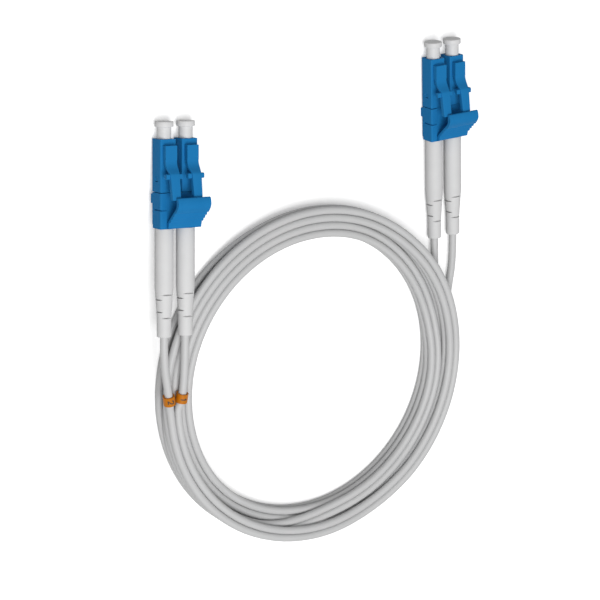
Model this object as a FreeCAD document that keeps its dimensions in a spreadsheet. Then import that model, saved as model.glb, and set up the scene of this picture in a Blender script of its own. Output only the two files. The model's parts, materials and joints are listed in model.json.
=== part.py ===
import FreeCAD, Part
import math
import os
import re

import Sketcher

# A duplex LC to LC fibre patch lead, lying on a flat surface at z = 0.
# Every connector piece is drawn in its plug's own frame: the nose face is at y = 0, the plug's
# axis is the y axis with the cord leaving towards -y, and the latch is on the +z side.
# The frame of the whole lead has its origin between the two connectors, on the surface.

document = FreeCAD.newDocument("FibrePatchLead")
sheet = document.addObject("Spreadsheet::Sheet", "Sizes")

SIZES = {
    # plug housing
    "plug_pitch": 6.25,
    "housing_width": 4.52,
    "housing_length": 13.4,
    "housing_corner": 0.35,
    "nose_bore": 3.8,
    "nose_depth": 2.6,
    "nose_web": 0.8,
    "housing_bore": 3.6,
    "window_place": 10.25,
    "window_length": 1.1,
    "window_height": 1.4,
    "window_rise": 0.1,
    "tab_shadow_gap": 0.2,
    "tab_fit_gap": 0.05,
    "tab_recess": 0.1,
    "cut_margin": 1.0,
    # latch pad and latch arm
    "pad_start": 1.5,
    "pad_height": 1.6,
    "latch_root": 5.5,
    "latch_width": 3.3,
    "latch_tail_width": 2.6,
    "latch_thickness": 1.0,
    "latch_tail_thickness": 1.4,
    "shoulder_start": 8.45,
    "shoulder_length": 1.35,
    "shoulder_width": 4.7,
    "shoulder_height": 3.65,
    "shoulder_drop": 0.3,
    "shoulder_thickness": 1.2,
    "shoulder_round": 0.35,
    "latch_end": 15.0,
    "latch_end_height": 4.6,
    "knuckle_radius": 0.55,
    "hinge_clearance": 0.06,
    # ferrule, flange and spring
    "ferrule_width": 1.25,
    "ferrule_reach": 1.9,
    "ferrule_tip": 0.25,
    "ferrule_hole_clearance": 0.18,
    "flange_width": 2.9,
    "flange_thickness": 1.4,
    "flange_sleeve_width": 1.7,
    "flange_length": 4.0,
    "ferrule_seat_depth": 2.2,
    "ferrule_travel": 1.0,
    "spring_wire": 0.32,
    "spring_width": 2.6,
    "spring_turns": 5.0,
    "spring_end_gap": 0.02,
    # rear body, crimp sleeve and cord end
    "rear_body_gap": 0.05,
    "rear_body_start": 9.1,
    "spring_seat_depth": 12.2,
    "spring_bore": 2.9,
    "neck_width": 3.0,
    "neck_clearance": 0.05,
    "stem_width": 2.5,
    "stem_length": 4.5,
    "fibre_width": 0.9,
    "fibre_bore": 1.2,
    "fibre_clearance": 0.05,
    "fibre_slack": 0.2,
    "crimp_gap": 0.1,
    "crimp_wall": 0.4,
    "crimp_neck_length": 2.0,
    "crimp_overhang": 0.4,
    "crimp_fit": 0.02,
    "cord_width": 2.1,
    "cord_clearance": 0.1,
    # boot
    "boot_width": 4.8,
    "boot_straight": 15.2,
    "boot_taper": 7.5,
    "boot_length": 28.0,
    "boot_end_width": 3.75,
    "boot_end_round": 0.3,
    "slit_width": 0.4,
    "slit_depth": 0.7,
    "slit_front_place": 16.9,
    "slit_side_place": 18.2,
    "slit_second_side_place": 21.4,
    "slit_second_front_place": 22.9,
    # dust cap
    "cap_width": 4.8,
    "cap_rise": 4.4,
    "cap_rim": 1.35,
    "cap_under_rim": 0.3,
    "cap_barrel_gap": 0.1,
    "cap_insert": 2.0,
    "cap_bore": 1.6,
    "cap_roof": 1.0,
    "cap_edge": 0.15,
    # duplex clip
    "clip_length": 9.3,
    "clip_left": 5.4,
    "clip_right": 6.6,
    "clip_seam": 0.2,
    "rib_height": 0.5,
    "rib_start": 0.4,
    "rib_length": 2.4,
    "recess_depth": 0.4,
    "recess_margin": 0.1,
    "recess_overrun": 0.1,
    "line_place": 4.15,
    "line_width": 0.35,
    "line_depth": 0.4,
    "line_margin": 1.1,
    "foot_depth": 0.5,
    "foot_length": 0.9,
    # trigger wing
    "trigger_left": 3.5,
    "trigger_right": 6.0,
    "trigger_hinge_inset": 0.75,
    "trigger_hinge_height": 0.2,
    "trigger_root_cover": 0.1,
    "trigger_heel_inset": 0.2,
    "trigger_heel": 0.75,
    "trigger_step_start": 1.6,
    "trigger_step_length": 0.85,
    "trigger_step_height": 0.9,
    "trigger_tread": 0.65,
    "trigger_bulge": 5.95,
    "trigger_bulge_place": 6.75,
    "trigger_bulge_length": 1.0,
    "trigger_bulge_drop": 0.2,
    "trigger_lip_place": 8.35,
    "trigger_lip_round": 0.3,
    "trigger_thickness": 0.85,
    "trigger_arm_gap": 0.3,
    # coil of the duplex cord
    "coil_centre_x": -0.58,
    "coil_centre_y": -53.25,
    "coil_middle": 42.5,
    "coil_layers": 3,
    "coil_step_angle": 225.0,
    "coil_step_start": 180.0,
    "exit_length": 24.0,
    "exit_margin": 1.4,
    "exit_headroom": 0.35,
    "tail_floor_gap": 0.02,
    # marker rings
    "ring_width": 3.2,
    "ring_length": 2.5,
    "ring_clearance": 0.1,
    # places and turns of the two connectors, at the middle of their boot ends
    "left_end_x": -45.08,
    "left_end_y": -32.75,
    "left_yaw": -5.5,
    "right_end_x": 44.22,
    "right_end_y": -21.95,
    "right_yaw": 1.6,
    "boot_rest_gap": 0.3,
}
STEP_COUNT = 4
# the curve of a latch arm's neck, as shares of its length and of its rise
NECK_CURVE = ((0, 0), (0.26, 0.1), (0.56, 0.36), (0.81, 0.7))
# an edge with more than this share of its length along y is taken to run along y
EDGE_TURN = 0.999
# share of the shorter of two runs that the arc between them takes
ARC_SHARE = 0.45
# how far along the last run but one of its tail a marker ring sits
RING_SHARE = 0.65
PLUG_SIDES = {"2": -1, "1": 1}
ENDS = ("left", "right")

for row, (name, number) in enumerate(SIZES.items(), start=1):
    sheet.set("A%d" % row, name)
    sheet.set("B%d" % row, str(number))
    sheet.setAlias("B%d" % row, name)
document.recompute()

# Places in a plug, as expressions on the sheet. All are y values, except half of the housing's
# width and the floor of its windows, which is a z value.
HALF = "housing_width / 2"
WEB_REAR = "-nose_depth - nose_web"
FLANGE_REAR = WEB_REAR + " - flange_length"
CLIP_FRONT = "-housing_length - clip_seam"
CLIP_REAR = "-housing_length - clip_length"
STEM_END = CLIP_REAR + " - stem_length"
CRIMP_END = STEM_END + " - crimp_overhang - crimp_neck_length"
BOOT_END = CLIP_REAR + " - boot_length"
WINDOW_REAR = "-window_place - window_length / 2"
WINDOW_FLOOR = "window_rise - window_height / 2"


def bound(text):
    """Names of the sheet, written the way other objects refer to them."""
    return re.sub(r"\b[a-z]+(?:_[a-z]+)+\b", r"Sizes.\g<0>", text)


def value(text):
    return float(sheet.evalExpression(bound(text)))


def bind(thing, name, text):
    thing.setExpression(name, bound(text))


def new_body(name):
    body = document.addObject("PartDesign::Body", name)
    body.Label = name
    return body


def place_sketch(sketch, body, plane, offset):
    for feature in body.Origin.OriginFeatures:
        if feature.Role == plane:
            sketch.AttachmentSupport = [(feature, "")]
    sketch.MapMode = "FlatFace"
    bind(sketch, "AttachmentOffset.Base.z", offset)


def outline(body, plane, corners, offset="0"):
    """A closed outline of straight lines, with every corner bound to the sheet."""
    sketch = body.newObject("Sketcher::SketchObject", "Outline")
    place_sketch(sketch, body, plane, offset)
    places = [FreeCAD.Vector(value(across), value(along), 0) for across, along in corners]
    for number, place in enumerate(places):
        sketch.addGeometry(Part.LineSegment(place, places[(number + 1) % len(places)]))
    for number, (across, along) in enumerate(corners):
        before = (number - 1) % len(corners)
        sketch.addConstraint(Sketcher.Constraint("Coincident", before, 2, number, 1))
        for kind, text in (("DistanceX", across), ("DistanceY", along)):
            constraint = Sketcher.Constraint(kind, number, 1, value(text))
            index = sketch.addConstraint(constraint)
            bind(sketch, "Constraints[%d]" % index, text)
    return sketch


def circle(body, plane, across, along, radius):
    """A round outline with its centre and radius bound to the sheet."""
    sketch = body.newObject("Sketcher::SketchObject", "Round")
    place_sketch(sketch, body, plane, "0")
    centre = FreeCAD.Vector(value(across), value(along), 0)
    sketch.addGeometry(Part.Circle(centre, FreeCAD.Vector(0, 0, 1), value(radius)))
    for kind, text in (("DistanceX", across), ("DistanceY", along)):
        index = sketch.addConstraint(Sketcher.Constraint(kind, 0, 3, value(text)))
        bind(sketch, "Constraints[%d]" % index, text)
    index = sketch.addConstraint(Sketcher.Constraint("Radius", 0, value(radius)))
    bind(sketch, "Constraints[%d]" % index, radius)
    return sketch


def prism(body, kind, sketch, length, side="Symmetric", reverse=False):
    """A Pad or a Pocket of the sketch."""
    feature = body.newObject("PartDesign::" + kind, kind)
    feature.Profile = sketch
    feature.SideType = side
    feature.Reversed = reverse
    bind(feature, "Length", length)
    return feature


def turned(body, kind, corners):
    """A Revolution or a Groove about the y axis; corners are radius and y."""
    feature = body.newObject("PartDesign::" + kind, kind)
    sketch = outline(body, "XY_Plane", corners)
    feature.Profile = sketch
    feature.ReferenceAxis = (sketch, ["V_Axis"])
    feature.Angle = 360
    return feature


def block(body, kind, across, along, upward):
    """An AdditiveBox or a SubtractiveBox between pairs of bounds in x, y and z."""
    feature = body.newObject("PartDesign::" + kind, kind)
    sides = (("Length", "x", across), ("Width", "y", along), ("Height", "z", upward))
    for side, axis, (low, high) in sides:
        bind(feature, side, "(%s) - (%s)" % (high, low))
        bind(feature, "AttachmentOffset.Base." + axis, low)
    for origin in body.Origin.OriginFeatures:
        if origin.Role == "XY_Plane":
            feature.AttachmentSupport = [(origin, "")]
    feature.MapMode = "ObjectXY"
    return feature


def round_long_edges(body, radius):
    """Rounds the edges of the body's tip that run along y."""
    document.recompute()
    tip = body.Tip
    names = []
    for number, edge in enumerate(tip.Shape.Edges, start=1):
        run = edge.Vertexes[-1].Point - edge.Vertexes[0].Point
        if abs(run.y) > EDGE_TURN * run.Length:
            names.append("Edge%d" % number)
    fillet = body.newObject("PartDesign::Fillet", "Fillet")
    fillet.Base = (tip, names)
    bind(fillet, "Radius", radius)


def housing(body):
    """Square plug housing: nose bore, web round the ferrule, rear bore, windows and latch pad."""
    block(body, "AdditiveBox", ("-" + HALF, HALF), ("-housing_length", "0"), ("-" + HALF, HALF))
    round_long_edges(body, "housing_corner")
    half_pad = "latch_width / 2"
    block(body, "AdditiveBox", ("-" + half_pad, half_pad),
          ("-latch_root", "-pad_start"), (HALF + " - housing_corner", HALF + " + pad_height"))
    hole = "ferrule_width / 2 + ferrule_hole_clearance"
    turned(body, "Groove", [
        ("0", "cut_margin"), ("nose_bore / 2", "cut_margin"), ("nose_bore / 2", "-nose_depth"),
        (hole, "-nose_depth"), (hole, WEB_REAR), ("housing_bore / 2", WEB_REAR),
        ("housing_bore / 2", "-housing_length - cut_margin"), ("0", "-housing_length - cut_margin")])
    block(body, "SubtractiveBox", ("-housing_width", "housing_width"),
          (WINDOW_REAR, WINDOW_REAR + " + window_length"),
          (WINDOW_FLOOR, WINDOW_FLOOR + " + window_height"))
    seat = circle(body, "YZ_Plane", "-latch_root", LATCH_AXIS, "knuckle_radius + hinge_clearance")
    prism(body, "Pocket", seat, "housing_width")


LATCH_AXIS = HALF + " + pad_height - knuckle_radius"


def latch_arm(body):
    """Springy arm: it rises from the pad in a curve, and its shoulders lock the plug in an adaptor."""
    knuckle = circle(body, "YZ_Plane", "-latch_root", LATCH_AXIS, "knuckle_radius")
    prism(body, "Pad", knuckle, "latch_width")
    neck = [("-latch_root - %g * (shoulder_start - latch_root)" % along,
             HALF + " + pad_height + %g * (shoulder_height - pad_height)" % upward)
            for along, upward in NECK_CURVE]
    tail = [("-shoulder_start", HALF + " + shoulder_height"), ("-latch_end", HALF + " + latch_end_height")]
    under_neck = [(along, upward + " - latch_thickness") for along, upward in reversed(neck)]
    under_tail = [(along, upward + " - latch_tail_thickness") for along, upward in reversed(tail)]
    prism(body, "Pad", outline(body, "YZ_Plane", neck + under_neck), "latch_width")
    whole = outline(body, "YZ_Plane", neck + tail + under_tail + under_neck)
    prism(body, "Pad", whole, "latch_tail_width")
    front, rear = "-shoulder_start", "-shoulder_start - shoulder_length"
    top = HALF + " + shoulder_height - shoulder_drop"
    shoulders = [
        (front, top + " - shoulder_round"), (front + " - shoulder_round", top), (rear, top),
        (rear, top + " - shoulder_thickness"), (front, top + " - shoulder_thickness")]
    prism(body, "Pad", outline(body, "YZ_Plane", shoulders), "shoulder_width")


def ferrule(body):
    """Ceramic ferrule with a chamfered tip."""
    rear = WEB_REAR + " - ferrule_seat_depth"
    turned(body, "Revolution", [
        ("0", rear), ("ferrule_width / 2", rear), ("ferrule_width / 2", "ferrule_reach - ferrule_tip"),
        ("ferrule_width / 2 - ferrule_tip", "ferrule_reach"), ("0", "ferrule_reach")])


def ferrule_flange(body):
    """Hub pressed on the ferrule: a head that seats on the web and a sleeve inside the spring."""
    seat = WEB_REAR + " - ferrule_seat_depth"
    head_rear = WEB_REAR + " - flange_thickness"
    opening = "fibre_width / 2 + fibre_clearance"
    turned(body, "Revolution", [
        ("ferrule_width / 2", WEB_REAR), ("flange_width / 2", WEB_REAR),
        ("flange_width / 2", head_rear), ("flange_sleeve_width / 2", head_rear),
        ("flange_sleeve_width / 2", FLANGE_REAR), (opening, FLANGE_REAR), (opening, seat),
        ("ferrule_width / 2", seat)])


def spring(body):
    """Helical spring between the flange head and the seat inside the rear body."""
    front = WEB_REAR + " - flange_thickness - spring_wire / 2 - spring_end_gap"
    rear = "-spring_seat_depth + spring_wire / 2 + spring_end_gap"
    mean = "spring_width / 2 - spring_wire / 2"
    wire = circle(body, "XY_Plane", mean, rear, "spring_wire / 2")
    helix = body.newObject("PartDesign::AdditiveHelix", "Helix")
    helix.Profile = wire
    helix.ReferenceAxis = (wire, ["V_Axis"])
    helix.Mode = "pitch-height-angle"
    bind(helix, "Height", "(%s) - (%s)" % (front, rear))
    bind(helix, "Pitch", "((%s) - (%s)) / spring_turns" % (front, rear))


def rear_body(body):
    """Rear body: snaps into the housing, holds the spring and carries the crimp stem."""
    turned(body, "Revolution", [
        ("spring_bore / 2", "-rear_body_start"),
        ("housing_bore / 2 - rear_body_gap", "-rear_body_start"),
        ("housing_bore / 2 - rear_body_gap", "-housing_length"),
        ("neck_width / 2", "-housing_length"), ("neck_width / 2", CLIP_REAR),
        ("stem_width / 2", CLIP_REAR), ("stem_width / 2", STEM_END), ("fibre_bore / 2", STEM_END),
        ("fibre_bore / 2", "-spring_seat_depth"), ("spring_bore / 2", "-spring_seat_depth")])
    outer, inner = HALF + " - tab_recess", "spring_bore / 2 + rear_body_gap"
    for low, high in (("-(%s)" % outer, "-(%s)" % inner), (inner, outer)):
        block(body, "AdditiveBox", (low, high),
              (WINDOW_REAR + " + tab_shadow_gap", WINDOW_REAR + " + window_length - tab_fit_gap"),
              (WINDOW_FLOOR + " + tab_shadow_gap", WINDOW_FLOOR + " + window_height - tab_fit_gap"))


def crimp_sleeve(body):
    """Metal sleeve round the stem, necked down onto the cord's jacket."""
    inner = "stem_width / 2 + crimp_gap"
    neck = "cord_width / 2 + crimp_fit"
    neck_start = STEM_END + " - crimp_overhang"
    turned(body, "Revolution", [
        (inner, CLIP_REAR + " - crimp_gap"), (inner + " + crimp_wall", CLIP_REAR + " - crimp_gap"),
        (inner + " + crimp_wall", STEM_END), (neck + " + crimp_wall", neck_start),
        (neck + " + crimp_wall", CRIMP_END), (neck, CRIMP_END), (neck, neck_start), (inner, STEM_END)])


def cord_end(body):
    """Prepared end of one core: jacket up to the crimp, then the bare buffered fibre."""
    strip = STEM_END + " - crimp_overhang"
    fibre_front = WEB_REAR + " - ferrule_seat_depth - ferrule_travel - fibre_slack"
    turned(body, "Revolution", [
        ("0", BOOT_END), ("cord_width / 2", BOOT_END), ("cord_width / 2", strip),
        ("fibre_width / 2", strip), ("fibre_width / 2", fibre_front), ("0", fibre_front)])


def boot(body):
    """Bend-relief boot: straight, then tapered, with pairs of slits on crossed sides."""
    cavity = "stem_width / 2 + crimp_gap + crimp_wall + crimp_gap"
    cavity_end = CRIMP_END + " - crimp_gap"
    straight_end = CLIP_REAR + " - boot_straight"
    taper_end = straight_end + " - boot_taper"
    bore = "cord_width / 2 + cord_clearance"
    turned(body, "Revolution", [
        (cavity, CLIP_REAR), ("boot_width / 2", CLIP_REAR), ("boot_width / 2", straight_end),
        ("boot_end_width / 2", taper_end), ("boot_end_width / 2", BOOT_END + " + boot_end_round"),
        ("boot_end_width / 2 - boot_end_round", BOOT_END), (bore, BOOT_END), (bore, cavity_end),
        (cavity, cavity_end)])
    wide = ("-boot_width", "boot_width")
    slope = "(boot_width - boot_end_width) / 2 / boot_taper"
    for place, crosswise in (("slit_front_place", False), ("slit_second_front_place", False),
                             ("slit_side_place", True), ("slit_second_side_place", True)):
        middle = CLIP_REAR + " - " + place
        along = (middle + " - slit_width / 2", middle + " + slit_width / 2")
        floor = "boot_width / 2 - (%s - boot_straight) * %s - slit_depth" % (place, slope)
        for span in ((floor, "boot_width"), ("-boot_width", "-(%s)" % floor)):
            across, upward = (span, wide) if crosswise else (wide, span)
            block(body, "SubtractiveBox", across, along, upward)


def dust_cap(body):
    """Dust cap: a rimmed cylinder that fills the nose bore and covers the ferrule."""
    barrel = "nose_bore / 2 - cap_barrel_gap"
    under = "cap_rise - cap_rim"
    turned(body, "Revolution", [
        ("0", "cap_rise"), ("cap_width / 2 - cap_edge", "cap_rise"),
        ("cap_width / 2", "cap_rise - cap_edge"), ("cap_width / 2", under),
        ("(cap_width / 2 + %s) / 2" % barrel, under + " - cap_under_rim / 3"),
        (barrel, under + " - cap_under_rim"), (barrel, "-cap_insert"),
        ("cap_bore / 2", "-cap_insert"), ("cap_bore / 2", "cap_rise - cap_roof"),
        ("0", "cap_rise - cap_roof")])


TRIGGER_AXIS_Y = CLIP_REAR + " + trigger_hinge_inset"
TRIGGER_AXIS_Z = HALF + " + trigger_hinge_height"


def clip(body):
    """Duplex clip: a block with a channel for each plug's neck and a seat for the trigger."""
    block(body, "AdditiveBox", ("-clip_left", "clip_right"), (CLIP_REAR, CLIP_FRONT),
          ("-" + HALF, HALF))
    round_long_edges(body, "housing_corner")
    block(body, "AdditiveBox", ("-clip_left", "clip_right"),
          (CLIP_FRONT + " - rib_start - rib_length", CLIP_FRONT + " - rib_start"),
          ("-" + HALF + " - rib_height", "-" + HALF + " + housing_corner"))
    for side in PLUG_SIDES.values():
        neck = circle(body, "XZ_Plane", "%d * plug_pitch / 2" % side, "0",
                      "neck_width / 2 + neck_clearance")
        prism(body, "Pocket", neck, "2 * (housing_length + clip_length + boot_length)")
    block(body, "SubtractiveBox",
          ("-trigger_left - recess_margin", "trigger_right + recess_margin"),
          (TRIGGER_AXIS_Y, CLIP_FRONT + " + cut_margin"),
          (HALF + " - recess_depth", HALF + " + cut_margin"))
    rear = TRIGGER_AXIS_Y + " - knuckle_radius - hinge_clearance"
    front = TRIGGER_AXIS_Y + " + recess_overrun"
    seat = outline(body, "YZ_Plane", [
        (rear, HALF + " + cut_margin"), (rear, HALF + " - recess_depth"),
        (front, HALF + " - recess_depth"), (front, HALF + " + cut_margin")],
        offset="(trigger_right - trigger_left) / 2")
    prism(body, "Pocket", seat, "trigger_left + trigger_right + 2 * recess_margin")
    line = (CLIP_FRONT + " - line_place - line_width", CLIP_FRONT + " - line_place")
    upward = ("-" + HALF + " + line_margin", HALF + " + cut_margin")
    left, right = "-clip_left - cut_margin", "clip_right + cut_margin"
    block(body, "SubtractiveBox", (left, "-clip_left + line_depth"), line, upward)
    block(body, "SubtractiveBox", ("clip_right - line_depth", right), line, upward)
    block(body, "SubtractiveBox", (left, "-trigger_left"), line,
          (HALF + " - line_depth", HALF + " + cut_margin"))
    block(body, "SubtractiveBox", (left, right),
          (CLIP_REAR + " - cut_margin", CLIP_REAR + " + foot_length"),
          ("-" + HALF + " - cut_margin", "-" + HALF + " + foot_depth"))


def trigger(body):
    """Wing of the clip: rises from its hinge in grip steps, its lip above both latch arms."""
    middle = "(trigger_right - trigger_left) / 2"
    heel, lip = CLIP_REAR + " + trigger_heel_inset", CLIP_REAR + " + trigger_lip_place"
    crest = CLIP_REAR + " + trigger_bulge_place"
    top = HALF + " + trigger_bulge"
    side = top + " - trigger_bulge_drop"
    under = HALF + " + latch_end_height + trigger_arm_gap"
    front, back = [], []
    for step in range(STEP_COUNT):
        along = heel + " + trigger_step_start + %d * trigger_step_length" % step
        foot = HALF + " + trigger_heel + %g * trigger_step_height" % (step + 0.5)
        front += [(along, foot), (along, foot + " + trigger_tread")]
        back.append((along, foot + " - trigger_thickness"))
    corners = [
        (TRIGGER_AXIS_Y, TRIGGER_AXIS_Z + " - knuckle_radius + trigger_root_cover"),
        (heel, TRIGGER_AXIS_Z), (heel, HALF + " + trigger_heel")]
    corners += front
    corners += [
        (crest + " - trigger_bulge_length", side), (crest, top),
        (crest + " + trigger_bulge_length", side), (lip, side + " - trigger_lip_round"),
        (lip, under + " + trigger_lip_round"), (lip + " - trigger_lip_round", under),
        (crest + " - trigger_bulge_length", under)]
    corners += reversed(back)
    corners.append((TRIGGER_AXIS_Y + " + knuckle_radius", TRIGGER_AXIS_Z))
    prism(body, "Pad", outline(body, "YZ_Plane", corners, offset=middle), "trigger_left + trigger_right")
    knuckle = circle(body, "YZ_Plane", TRIGGER_AXIS_Y, TRIGGER_AXIS_Z, "knuckle_radius")
    bind(knuckle, "AttachmentOffset.Base.z", middle)
    prism(body, "Pad", knuckle, "trigger_left + trigger_right")


# Each connector lies as it comes to rest. The right one lies on the surface, on its clip's rib and
# the front of its boots' taper. The left one has its boots on the coil and its dust caps on the
# surface.
COIL_HEIGHT = value("coil_layers * cord_width")
BOOT_REACH = value("housing_length + clip_length + boot_length")


def left_pose():
    """Height of the boot ends' middle and the nose-down pitch of the left connector, in degrees."""
    height = COIL_HEIGHT + value("boot_end_width / 2 + boot_rest_gap")
    rim = value("cap_width / 2")
    reach = BOOT_REACH + value("cap_rise")
    pitch = math.asin(height / math.hypot(reach, rim)) - math.atan2(rim, reach)
    return height, -math.degrees(pitch)


def right_pose():
    """The same for the right connector, which lies tail down."""
    rib_reach = value(HALF + " + rib_height")
    rib_rear = value("housing_length + clip_seam + rib_start + rib_length")
    taper_start = value("housing_length + clip_length + boot_straight")
    slope = (rib_reach - value("boot_width / 2")) / (taper_start - rib_rear)
    pitch = math.atan(slope)
    height = value("boot_width / 2") * math.cos(pitch) - (BOOT_REACH - taper_start) * math.sin(pitch)
    return height, math.degrees(pitch)


def connector_placement(end):
    height, pitch = left_pose() if end == "left" else right_pose()
    turn = FreeCAD.Rotation(FreeCAD.Vector(0, 0, 1), value(end + "_yaw"))
    turn = turn.multiply(FreeCAD.Rotation(FreeCAD.Vector(1, 0, 0), pitch))
    boot_middle = FreeCAD.Vector(value(end + "_end_x"), value(end + "_end_y"), height)
    return FreeCAD.Placement(boot_middle + turn.multVec(FreeCAD.Vector(0, BOOT_REACH, 0)), turn)


def plug_placement(end, core):
    aside = FreeCAD.Vector(PLUG_SIDES[core] * value("plug_pitch / 2"), 0, 0)
    return connector_placement(end).multiply(FreeCAD.Placement(aside, FreeCAD.Rotation()))


PLUG_PIECES = {
    "housing": housing, "latch_arm": latch_arm, "ferrule": ferrule, "ferrule_flange": ferrule_flange,
    "spring": spring, "rear_body": rear_body, "crimp_sleeve": crimp_sleeve, "cord_end": cord_end,
    "boot": boot, "dust_cap": dust_cap}
nodes = []
for end in ENDS:
    for core in PLUG_SIDES:
        for name, make in PLUG_PIECES.items():
            piece = new_body("%s_%s_%s" % (end, name, core))
            make(piece)
            piece.Placement = plug_placement(end, core)
            nodes.append(piece)
    for name, make in (("clip", clip), ("trigger", trigger)):
        piece = new_body("%s_%s" % (end, name))
        make(piece)
        piece.Placement = connector_placement(end)
        nodes.append(piece)


# The cord: four tails of one core each and the coil of both cores. A tail starts at its boot's
# end and meets the coil's end face. Its points between those two are chosen by hand.
CORE_HEIGHT = value("cord_width / 2")
TAIL_POINTS = {
    ("left", "2"): [(-48.73, -39.0, 8.9), (-47.55, -47.3, 8.5), (-46.9, -51.4, 8.0)],
    ("left", "1"): [(-42.53, -39.6, 8.9), (-43.0, -47.3, 8.5), (-43.55, -51.4, 8.0)],
    ("right", "2"): [(41.29, -29.75, 2.03), (41.9, -36.65, 1.2), (42.7, -45.35, 1.07)],
    ("right", "1"): [(47.52, -29.75, 2.03), (46.9, -36.65, 1.2), (45.5, -45.35, 1.07)],
}


def tail_route(end, core):
    plug = plug_placement(end, core)
    start = plug.multVec(FreeCAD.Vector(0, -BOOT_REACH, 0))
    side = -1 if end == "left" else 1
    # the outer core of the pair is the left one at the left end and the right one at the right end
    outward = 1 if PLUG_SIDES[core] == side else -1
    radius = value("coil_middle + cord_width") + outward * CORE_HEIGHT
    height = CORE_HEIGHT + (COIL_HEIGHT if end == "left" else value("tail_floor_gap"))
    finish = FreeCAD.Vector(value("coil_centre_x") + side * radius, value("coil_centre_y"), height)
    between = [FreeCAD.Vector(*point) for point in TAIL_POINTS[(end, core)]]
    return [start] + between + [finish]


def rounded_path(name, points):
    """Straight runs joined by tangent arcs, each as large as its two runs allow."""
    edges = []
    place = points[0]
    for before, corner, after in zip(points, points[1:], points[2:]):
        arriving = corner - before
        leaving = after - corner
        shorter = min(arriving.Length, leaving.Length)
        arriving.normalize()
        leaving.normalize()
        turn = arriving.getAngle(leaving)
        setback = ARC_SHARE * shorter
        radius = setback / math.tan(turn / 2)
        print("%s arc radius %.1f turn %.1f" % (name, radius, math.degrees(turn)))
        start = corner - arriving * setback
        finish = corner + leaving * setback
        inward = (leaving - arriving).normalize()
        middle = corner + inward * (radius / math.cos(turn / 2) - radius)
        edges.append(Part.LineSegment(place, start).toShape())
        edges.append(Part.Arc(start, middle, finish).toShape())
        place = finish
    edges.append(Part.LineSegment(place, points[-1]).toShape())
    return Part.Wire(edges)


def tail(name, points):
    path = rounded_path(name, points)
    direction = points[1] - points[0]
    section = Part.Wire(Part.Circle(points[0], direction, CORE_HEIGHT).toShape())
    feature = document.addObject("Part::Feature", name)
    feature.Label = name
    feature.Shape = path.makePipeShell([section], True, False)
    exact = math.pi * CORE_HEIGHT ** 2 * path.Length
    print("%s length %.2f volume ratio %.4f" % (name, path.Length, feature.Shape.Volume / exact))
    return feature


for end in ENDS:
    for core in PLUG_SIDES:
        nodes.append(tail("%s_tail_%s" % (end, core), tail_route(end, core)))


def ring_part(name, radius, height, base, angle="360", start="0"):
    """A cylinder about the coil's centre, or a sector of one."""
    cylinder = document.addObject("Part::Cylinder", name)
    bind(cylinder, "Radius", radius)
    bind(cylinder, "Height", height)
    bind(cylinder, "Angle", angle)
    bind(cylinder, "Placement.Base.x", "coil_centre_x")
    bind(cylinder, "Placement.Base.y", "coil_centre_y")
    bind(cylinder, "Placement.Base.z", base)
    bind(cylinder, "Placement.Rotation.Angle", start)
    return cylinder


def boolean(kind, name, base, tool):
    feature = document.addObject("Part::" + kind, name)
    feature.Base = base
    feature.Tool = tool
    return feature


def cord_coil():
    """Outer shape of the coil: three layers of four cores, a fourth outer layer where the left
    pair lies on top, and a passage beneath where the right pair runs out."""
    stack = "coil_layers * cord_width"
    outer = ring_part("CoilOuter", "coil_middle + 2 * cord_width", stack, "0")
    inner = ring_part("CoilInner", "coil_middle - 2 * cord_width", stack + " + 2 * cut_margin",
                      "-cut_margin")
    ring = boolean("Cut", "CoilRing", outer, inner)
    top = ring_part("StepOuter", "coil_middle + 2 * cord_width", "2 * cord_width",
                    stack + " - cord_width", "coil_step_angle", "coil_step_start")
    hollow = ring_part("StepInner", "coil_middle", "2 * (cord_width + cut_margin)",
                       stack + " - cord_width - cut_margin")
    step = boolean("Cut", "CoilStep", top, hollow)
    whole = boolean("Fuse", "CoilWhole", ring, step)
    passage = document.addObject("Part::Box", "CoilExit")
    bind(passage, "Length", "3 * cord_width")
    bind(passage, "Width", "exit_length")
    bind(passage, "Height", "cord_width + exit_headroom + cut_margin")
    bind(passage, "Placement.Base.x", "coil_centre_x + coil_middle - exit_margin")
    bind(passage, "Placement.Base.y", "coil_centre_y")
    bind(passage, "Placement.Base.z", "-cut_margin")
    coil = boolean("Cut", "cord_coil", whole, passage)
    coil.Label = "cord_coil"
    return coil


nodes.append(cord_coil())


def marker_ring(body):
    """Printed sleeve round one core."""
    inner = "cord_width / 2 + ring_clearance"
    turned(body, "Revolution", [
        (inner, "-ring_length / 2"), ("ring_width / 2", "-ring_length / 2"),
        ("ring_width / 2", "ring_length / 2"), (inner, "ring_length / 2")])


for core in PLUG_SIDES:
    ring = new_body("marker_ring_%s" % core)
    marker_ring(ring)
    route = tail_route("left", core)
    before, after = route[-3], route[-2]
    along = FreeCAD.Rotation(FreeCAD.Vector(0, 1, 0), before - after)
    middle = before + (after - before) * RING_SHARE
    ring.Placement = FreeCAD.Placement(middle, along)
    nodes.append(ring)

document.recompute()
for thing in document.Objects:
    if "Invalid" in thing.State or "Error" in thing.State:
        raise RuntimeError("%s has failed: %s" % (thing.Label, thing.State))
for node in nodes:
    if node.Shape.isNull() or not node.Shape.isValid() or not node.Shape.Solids:
        raise RuntimeError("%s has no valid solid" % node.Label)

os.makedirs("parts", exist_ok=True)
for node in nodes:
    node.Shape.exportStep("parts/%s.step" % node.Label)
print("%d nodes written" % len(nodes))
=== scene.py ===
import json
import math

import bmesh
import bpy
import numpy as np
from mathutils import Matrix, Vector


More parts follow.
